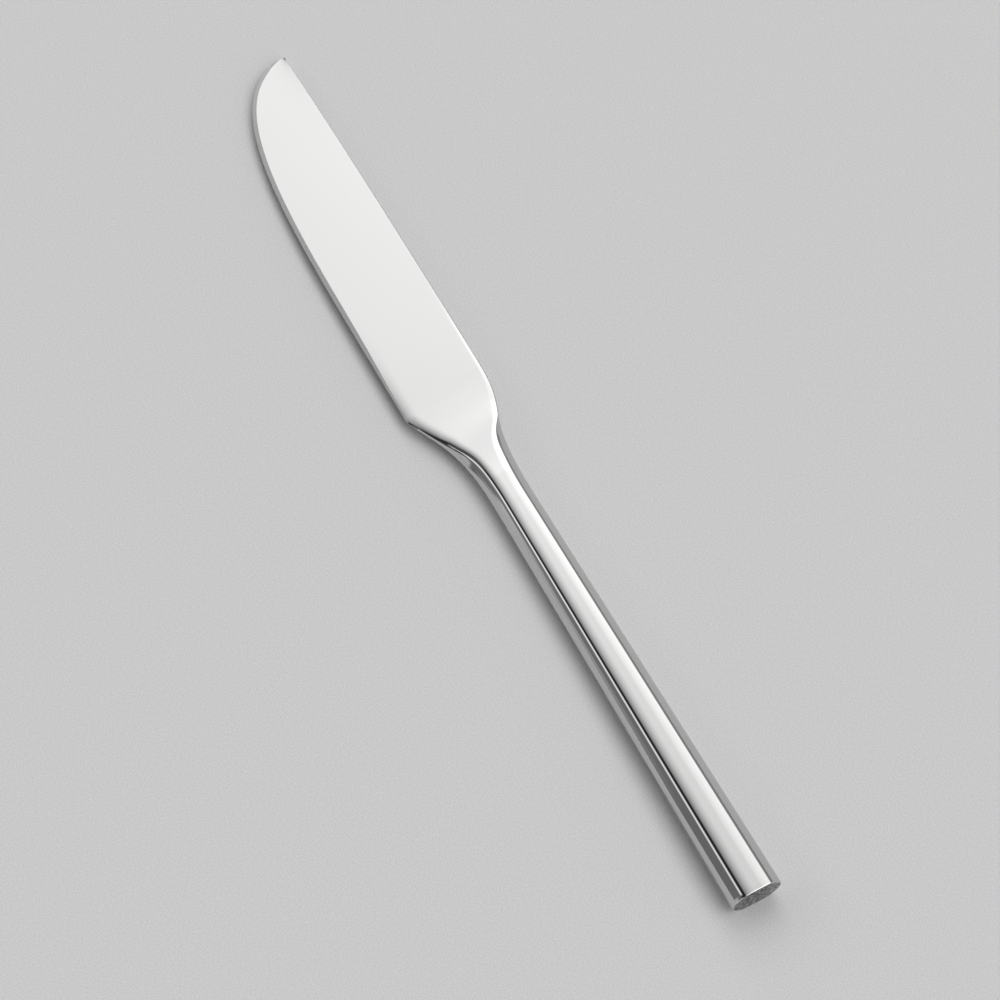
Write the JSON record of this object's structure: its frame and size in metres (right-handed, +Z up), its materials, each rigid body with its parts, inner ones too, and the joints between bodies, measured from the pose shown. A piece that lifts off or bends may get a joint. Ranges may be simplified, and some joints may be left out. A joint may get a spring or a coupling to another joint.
{
  "type": "table knife",
  "caption": "Mirror-polished table knife with a broad, round-bellied blade, a slim neck and a tapered, faceted hollow handle.",
  "frame": {"origin": "middle of the knife's box, on the surface that it lies on", "axes": "+X from the butt to the tip, +Y from the spine to the cutting edge, +Z up from the surface, through the blade's thickness"},
  "size_m": [0.235, 0.0212, 0.0084],
  "materials": {
    "blade_steel": "mirror-polished stainless steel",
    "handle_steel": "mirror-polished stainless steel",
    "filler": "hard cement filling, not seen",
    "braze": "silver-coloured braze, polished flush with the steel"
  },
  "bodies": {
    "root": {"blade": "blade_steel", "upper_handle_shell": "handle_steel", "lower_handle_shell": "handle_steel", "butt_cap": "handle_steel", "handle_filler": "filler", "neck_braze": "braze", "seam_braze": "braze"}
  },
  "joints": []
}
